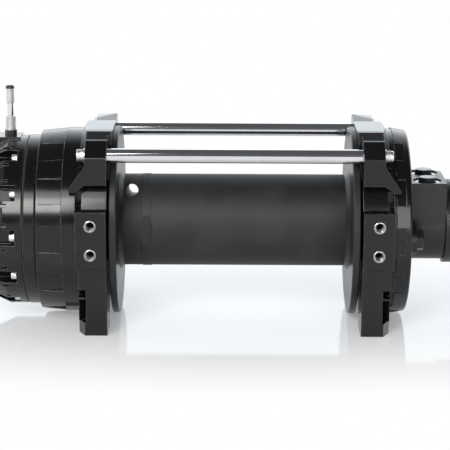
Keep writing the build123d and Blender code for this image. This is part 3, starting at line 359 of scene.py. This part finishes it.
def capScrewGrid(headD, head, shankD, length):
    # profile turned about X: shank, knurled head with a rounded rim, hexagon socket with a drilled floor
    around = screwForm["knurls"] * screwForm["perKnurl"]
    turn = onceRound(around)
    edge = screwForm["edge"] * headD
    bend = np.linspace(0, math.pi / 2, screwForm["rimSteps"])
    hexFlat = screwForm["socket"] * headD / 2 * math.cos(math.pi / 6)
    hexR = hexFlat / np.cos((turn + math.pi / 6) % (math.pi / 3) - math.pi / 6)
    tooth = 1 - screwForm["knurlDepth"] * (1 + np.cos(turn * screwForm["knurls"])) / 2
    deep = head * (1 - screwForm["socketDepth"])
    x = np.concatenate([
        [-length, -length, -length + edge, 0, 0, edge / 2, head - screwForm["rimStart"] * edge],
        head - edge + edge * np.sin(bend), [head, head - edge / 4, deep, deep - edge / 2]])
    plain = np.concatenate([
        [0, shankD / 2 - edge, shankD / 2, shankD / 2, headD / 2 - edge / 2, headD / 2, headD / 2],
        headD / 2 - edge + edge * np.cos(bend), [0, 0, 0, 0]])
    radius = np.repeat(plain[:, None], len(turn), 1)
    radius[5:7] *= tooth  # the straight side of the head
    radius[-4] = hexR * screwForm["socketFlare"]
    radius[-3:-1] = hexR  # the socket's wall; its last row is the middle of the floor
    return aboutX(x[:, None], radius, turn[None])


def capScrews(name, node, headD, head, shankD, way):
    boxes = solidBoxes(node)
    low, high = boxes[0]
    length = high[0] - low[0] - head
    screw = capScrewGrid(headD, head, shankD, length)
    copies = []
    for low, high in boxes:
        side = way if way else math.copysign(1, low[0] + high[0])
        seat = high[0] - head if side > 0 else low[0] + head
        middle = (low + high) / 2
        copies.append(screw * (side, 1, 1) + (seat, middle[1], middle[2]))
    slot = next(p["material_slot"] for p in record["subparts"] if p["node"] == node)
    piece = addPiece(name, meshFromGrids(name, np.array(copies)), "frame", slot)
    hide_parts(node)
    return len(copies)


# node it stands for: piece, head diameter, head height, shank diameter, side its head is on (0: outwards)
screwSets = {
    "cover_bolts": ("gearbox_cap_screws", 0.0085, 0.005, 0.005, -1),
    "tie_rod_screws": ("tie_rod_cap_screws", 0.0106, 0.0062, 0.006, 0),
    "motor_cover_screws": ("motor_adapter_screws", 0.010, 0.006, 0.006, 1),
    "motor_case_bolts": ("motor_through_bolts", 0.0085, 0.005, 0.005, 1),
}
count = sum(capScrews(name, node, *sizes) for node, (name, *sizes) in screwSets.items())
print("cap screws:", count)


# bright threads in the four tapped holes of the front pads, with the ring of their countersinks
tapForm = {"pitch": 0.0015, "ridge": 0.00085, "depth": 0.013, "sinkR": 0.00535, "skin": 0.00008,
           "back": 0.00001, "perTurn": 8, "around": 48}


def ridgeWave(turns, sharp=0.12):
    # rounded triangle between 0 and 1, once each turn: a cosine wave sharpened by some of its cube
    wave = np.cos(2 * math.pi * turns)
    return 0.5 - 0.5 * (wave - sharp * wave ** 3) / (1 - sharp)


def tapThreads(look):
    # wall of a bore: a ridge winds inwards, the mouth flares at the countersink, and the wall closes behind
    mount = named(record["mounts"], "front_bolts")
    boreR = mount["dims"]["hole_r_mm"] * mm
    sink = look["sinkR"] - boreR
    steps = int((look["depth"] - sink) / look["pitch"] * look["perTurn"])
    deep = np.linspace(sink, look["depth"], steps)[:, None]
    turn = onceRound(look["around"])[None]
    start = np.clip((deep - sink) / look["pitch"], 0, 1)
    wave = ridgeWave(deep / look["pitch"] - turn / (2 * math.pi))
    wall = boreR - look["skin"] - look["ridge"] * start * wave
    back = look["back"]
    depth = np.vstack([[[0.0]], deep, [[look["depth"]], [sink], [back]]])
    edges = [look["sinkR"] - look["skin"], boreR - back, boreR - back, look["sinkR"] - back]
    rim, *behind = [np.full_like(turn, r) for r in edges]
    radius = np.vstack([rim, wall, *behind])
    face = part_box("gear_side_bracket")[0][1]
    bore = np.stack(np.broadcast_arrays(radius * np.cos(turn), face + depth, radius * np.sin(turn)), -1)
    across, upward = (mount["dims"][key] * mm / 2 for key in ("spacing_x_mm", "spacing_y_mm"))
    middle = np.array((mount["pos_m"][0], 0, mount["pos_m"][2]))
    places = [middle + (i * across, 0, j * upward) for i in (-1, 1) for j in (-1, 1)]
    mesh = meshFromGrids("pad_threads", np.array([bore + place for place in places]), closeRows=True)
    addPiece("pad_threads", mesh, "frame", "machined_steel", meshForm["turnedAngle"])
    return len(places)


print("tapped holes:", tapThreads(tapForm))


# plunger: a fine thread on the bush and turned grip rings on the knob, fitted over the plain solids
bushThread = {"pitch": 0.001, "ridge": 0.0002, "perTurn": 8, "around": 64, "plain": 0.0012, "gap": 0.0001}
knobGrip = {"pitch": 0.0009, "ridge": 0.00022, "perTurn": 8, "around": 64, "plain": 0.0015, "gap": 0.0001,
            "reach": 0.0134}
sleeveForm = {"inner": 0.02, "outer": 0.1}


def ridgedSleeve(name, look, centre, radius, low, high, lead, body):
    # thin closed sleeve about Z: its radius waves along its height, shifted by lead pitches each time round
    steps = int((high - low) / look["pitch"] * look["perTurn"])
    height = np.linspace(low, high, steps)[:, None]
    turn = onceRound(look["around"])[None]
    fade = np.clip(np.minimum(height - low, high - height) / look["plain"], 0, 1)
    wave = ridgeWave(height / look["pitch"] - lead * turn / (2 * math.pi))
    outer = radius + look["ridge"] * (sleeveForm["outer"] + fade * wave)
    inner = np.full_like(turn, radius + sleeveForm["inner"] * look["ridge"])
    radii = np.vstack([inner, outer, inner])
    heights = np.vstack([[[low]], height, [[high]]])
    grid = np.stack(np.broadcast_arrays(
        centre[0] + radii * np.cos(turn), centre[1] + radii * np.sin(turn), heights), -1)
    mesh = meshFromGrids(name, grid[None], closeRows=True)
    addPiece(name, mesh, body, "plunger_grey", meshForm["turnedAngle"])


def dressPlunger():
    low, high = (np.array(v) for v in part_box("plunger_bush"))
    centre = (low + high) / 2
    bushR = (high[0] - low[0]) / 2
    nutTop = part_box("plunger_lock_nut")[1][2]
    gap = bushThread["gap"]
    ridgedSleeve("plunger_thread", bushThread, centre, bushR, nutTop + gap, high[2] - gap, 1, "frame")
    low, high = (np.array(v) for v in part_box("plunger_knob"))
    knobR = (high[0] - low[0]) / 2
    start, end = high[2] - knobGrip["reach"], high[2] - knobGrip["gap"]
    ridgedSleeve("knob_grip", knobGrip, centre, knobR, start, end, 0, "plunger")


dressPlunger()
print("plunger: thread and grip rings")


# plunger spring: a wound wire in place of the plain solid, fixed to the frame at its built length
springForm = {"wire": 0.0009, "turns": 5, "perTurn": 32, "around": 12}


def woundSpring(look):
    # tube along a helix about Z: sine and cosine of the turn, a steady rise, a round section across the wire
    low, high = (np.array(v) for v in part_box("plunger_spring"))
    centre = (low + high) / 2
    wireR = look["wire"] / 2
    coilR = (high[0] - low[0]) / 2 - wireR
    rise = high[2] - low[2] - look["wire"]
    turn = np.linspace(0, 2 * math.pi * look["turns"], look["turns"] * look["perTurn"] + 1)[:, None]
    flat = np.zeros_like(turn)
    outward = np.hstack([np.sin(turn), np.cos(turn), flat])
    along = np.hstack([coilR * np.cos(turn), -coilR * np.sin(turn), flat + rise / turn[-1]])
    along /= np.linalg.norm(along, axis=1, keepdims=True)
    across = np.cross(along, outward)
    path = np.hstack([flat + centre[:2], low[2] + wireR + rise * turn / turn[-1]]) + coilR * outward
    angle = onceRound(look["around"])[None, :, None]
    section = np.cos(angle) * outward[:, None] + np.sin(angle) * across[:, None]
    thick = np.full((len(turn) + 2, 1, 1), wireR)
    thick[[0, -1]] = 0
    rows = np.r_[0, np.arange(len(turn)), len(turn) - 1]
    grid = path[rows][:, None] + thick * section[rows]
    mesh = meshFromGrids("wound_spring", grid[None])
    piece = addPiece("wound_spring", mesh, "frame", "spring_steel", meshForm["turnedAngle"])
    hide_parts("plunger_spring")
    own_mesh(piece)
    return look["turns"]


print("plunger spring turns:", woundSpring(springForm))


# bright sealing washers under the two port plugs
washerForm = {"inner": 0.0086, "outer": 0.0120, "thick": 0.0008, "edge": 0.0002, "spotFace": 0.0022,
              "lift": 0.00002, "around": 72, "smoothAngle": 40}


def portWashers(look):
    # flat ring about Z with eased edges, on the floor of each spot face
    r0, r1, e = look["inner"], look["outer"], look["edge"]
    top = look["thick"]
    radius = np.array([r0, r1, r1, r1 - e, r0 + e, r0])[:, None]
    height = np.array([0, 0, top - e, top, top, top - e])[:, None]
    turn = onceRound(look["around"])[None]
    ring = np.stack(np.broadcast_arrays(radius * np.cos(turn), radius * np.sin(turn), height), -1)
    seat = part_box("motor_housing")[1][2] - look["spotFace"] + look["lift"]
    copies = []
    for plug in ("front_port_plug", "rear_port_plug"):
        low, high = (np.array(v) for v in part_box(plug))
        copies.append(ring + ((low[0] + high[0]) / 2, (low[1] + high[1]) / 2, seat))
    mesh = meshFromGrids("port_washers", np.array(copies), closeRows=True)
    addPiece("port_washers", mesh, "frame", "bright_screw", look["smoothAngle"])
    return len(copies)


print("port washers:", portWashers(washerForm))


# camera: set back and raised as the photograph's, with the drum axis a little above the middle
cameraSet = {"lens": 146.1, "sensor": 36, "distance": 1.686, "elevation": 13.5, "sideways": -0.00855,
             "drop": 0.00526, "roll": 0.27}


def aimed(place, way):
    # stands at a place and looks along a way
    return Matrix.Translation(place) @ way.to_track_quat("-Z", "Y").to_matrix().to_4x4()


def addCamera(look):
    rise = math.radians(look["elevation"])
    toCamera = Vector((0, -math.cos(rise), math.sin(rise)))
    upward = Vector((0, math.sin(rise), math.cos(rise)))
    data = bpy.data.cameras.new("camera")
    data.lens = look["lens"]
    data.sensor_width = data.sensor_height = look["sensor"]
    camera = linked("camera", data)
    place = Vector((look["sideways"], 0, axisZ)) + toCamera * look["distance"] - upward * look["drop"]
    roll = Matrix.Rotation(math.radians(look["roll"]), 4, "Z")
    camera.matrix_world = aimed(place, -toCamera) @ roll
    bpy.context.scene.camera = camera


addCamera(cameraSet)


# studio: pale glossy floor, soft boxes, and a room that is white past the floor's edge
lamps = {
    "front_box": {"azimuth": -22.6, "low": 20, "high": 38, "away": 2.2, "width": 0.92, "radiance": 15.0,
                  "colour": (1.0, 0.99, 0.965)},
    "front_box_top": {"azimuth": -22.6, "low": 38, "high": 47, "away": 2.2, "width": 0.92, "radiance": 5.0,
                      "colour": (1.0, 0.99, 0.965)},
    "right_box": {"azimuth": 22, "low": 3, "high": 27, "away": 2.2, "width": 0.90, "radiance": 5.0,
                  "colour": (0.97, 0.99, 1.0)},
}


def addLamps():
    for name, look in lamps.items():
        data = bpy.data.lights.new(name, "AREA")
        data.shape = "RECTANGLE"
        half = math.radians(look["high"] - look["low"]) / 2
        data.size = look["width"]
        data.size_y = 2 * look["away"] * math.tan(half)
        data.energy = look["radiance"] * math.pi * data.size * data.size_y
        data.color = look["colour"]
        lamp = linked(name, data)
        turn = math.radians(look["azimuth"])
        rise = math.radians(look["high"] + look["low"]) / 2
        away = Vector((math.sin(turn) * math.cos(rise), -math.cos(turn) * math.cos(rise), math.sin(rise)))
        place = Vector((0, 0, axisZ)) + away * look["away"]
        lamp.matrix_world = aimed(place, -away)


worldLook = {"zenith": (0.11, 0.112, 0.115), "front": (0.13, 0.13, 0.135), "wall": (2.28, 2.45, 2.58),
             "wing": (2.0, 2.0, 2.05), "wallSpan": (0.10, 0.60), "wingSpan": (-0.85, -0.55),
             "falls": ((0.0, 1.0), (0.45, 0.80), (0.66, 0.50), (0.86, 0.0)), "backdrop": (0.10, 0.14)}


def raySeen(tree, kinds):
    # 1 for rays of the named kinds, 0 for the rest
    path = addNode(tree, "ShaderNodeLightPath").outputs
    share = path[kinds[0]]
    for kind in kinds[1:]:
        share = addNode(tree, "ShaderNodeMath", {0: share, 1: path[kind]}, operation="MAXIMUM").outputs[0]
    return share


def addWorld(look):
    # a bright wall behind, a pale wing on the left, a dim room in front and a dark ceiling; past the edge of
    # the floor there is plain white to the camera and in reflections
    world = bpy.data.worlds.new("studio")
    bpy.context.scene.world = world
    world.use_nodes = True
    tree = world.node_tree
    tree.nodes.clear()
    way = addNode(tree, "ShaderNodeTexCoord").outputs["Generated"]
    parts = addNode(tree, "ShaderNodeSeparateXYZ", {"Vector": way}).outputs
    behind = spanTo(tree, parts["Y"], *look["wallSpan"], 0, 1)
    fall = addNode(tree, "ShaderNodeValToRGB", {"Fac": parts["Z"]})
    steps = fall.color_ramp.elements
    for step, (place, level) in enumerate(look["falls"]):  # a new ramp has two stops
        stop = steps[step] if step < 2 else steps.new(place)
        stop.position, stop.color = place, (level, level, level, 1)
    leftward = spanTo(tree, parts["X"], *look["wingSpan"], 1, 0)
    near = blendColour(tree, leftward, look["front"], look["wing"])
    side = blendColour(tree, behind, near, look["wall"])
    room = blendColour(tree, fall.outputs["Color"], look["zenith"], side)
    studio = addNode(tree, "ShaderNodeBackground", {"Color": room, "Strength": 1.0})
    white = addNode(tree, "ShaderNodeBackground", {"Color": (1, 1, 1, 1), "Strength": 1.0})
    low = spanTo(tree, parts["Z"], *look["backdrop"], 1, 0)
    seen = raySeen(tree, ("Is Camera Ray", "Is Glossy Ray", "Is Transmission Ray"))
    share = addNode(tree, "ShaderNodeMath", {0: low, 1: seen}, operation="MULTIPLY").outputs[0]
    mix = addNode(tree, "ShaderNodeMixShader", {0: share, 1: studio.outputs[0], 2: white.outputs[0]})
    out = addNode(tree, "ShaderNodeOutputWorld")
    tree.links.new(mix.outputs[0], out.inputs["Surface"])


floorLook = {"half": 4.0, "colour": (0.77, 0.785, 0.805, 1), "roughness": 0.08, "ior": 1.5,
             "narrow": (0.45, 1, 1), "nearWhite": 0.25, "fadeStart": 0.05, "fadeEnd": 0.28}


def addFloor(look):
    # polished pale sheet that turns to plain white away from the winch
    half = look["half"]
    corners = [(-half, -half, 0), (half, -half, 0), (half, half, 0), (-half, half, 0)]
    mesh = bpy.data.meshes.new("floor")
    mesh.from_pydata(corners, [], [(0, 1, 2, 3)])
    floor = linked("floor", mesh)
    material, tree, place = startMaterial("floor_sheet")
    mesh.materials.append(material)
    sheet = addNode(tree, "ShaderNodeBsdfPrincipled", {
        "Base Color": look["colour"], "Roughness": look["roughness"], "IOR": look["ior"]})
    white = addNode(tree, "ShaderNodeEmission", {"Color": (1, 1, 1, 1), "Strength": 1.0})
    narrow = addNode(tree, "ShaderNodeMapping", {"Vector": place, "Scale": look["narrow"]}).outputs["Vector"]
    away = addNode(tree, "ShaderNodeVectorMath", {0: narrow}, operation="LENGTH").outputs["Value"]
    fade = addNode(tree, "ShaderNodeMapRange", {
        "Value": away, "From Min": look["fadeStart"], "From Max": look["fadeEnd"],
        "To Min": look["nearWhite"], "To Max": 1.0}, interpolation_type="SMOOTHSTEP")
    seen = raySeen(tree, ("Is Camera Ray", "Is Glossy Ray", "Is Transmission Ray"))
    values = {0: fade.outputs["Result"], 1: seen}
    share = addNode(tree, "ShaderNodeMath", values, operation="MULTIPLY").outputs[0]
    mix = addNode(tree, "ShaderNodeMixShader", {0: share, 1: sheet.outputs[0], 2: white.outputs[0]})
    finishMaterial(tree, mix)


addLamps()
addWorld(worldLook)
addFloor(floorLook)
bpy.context.scene.view_settings.view_transform = "Standard"
print("studio: camera,", len(lamps), "soft boxes, floor")
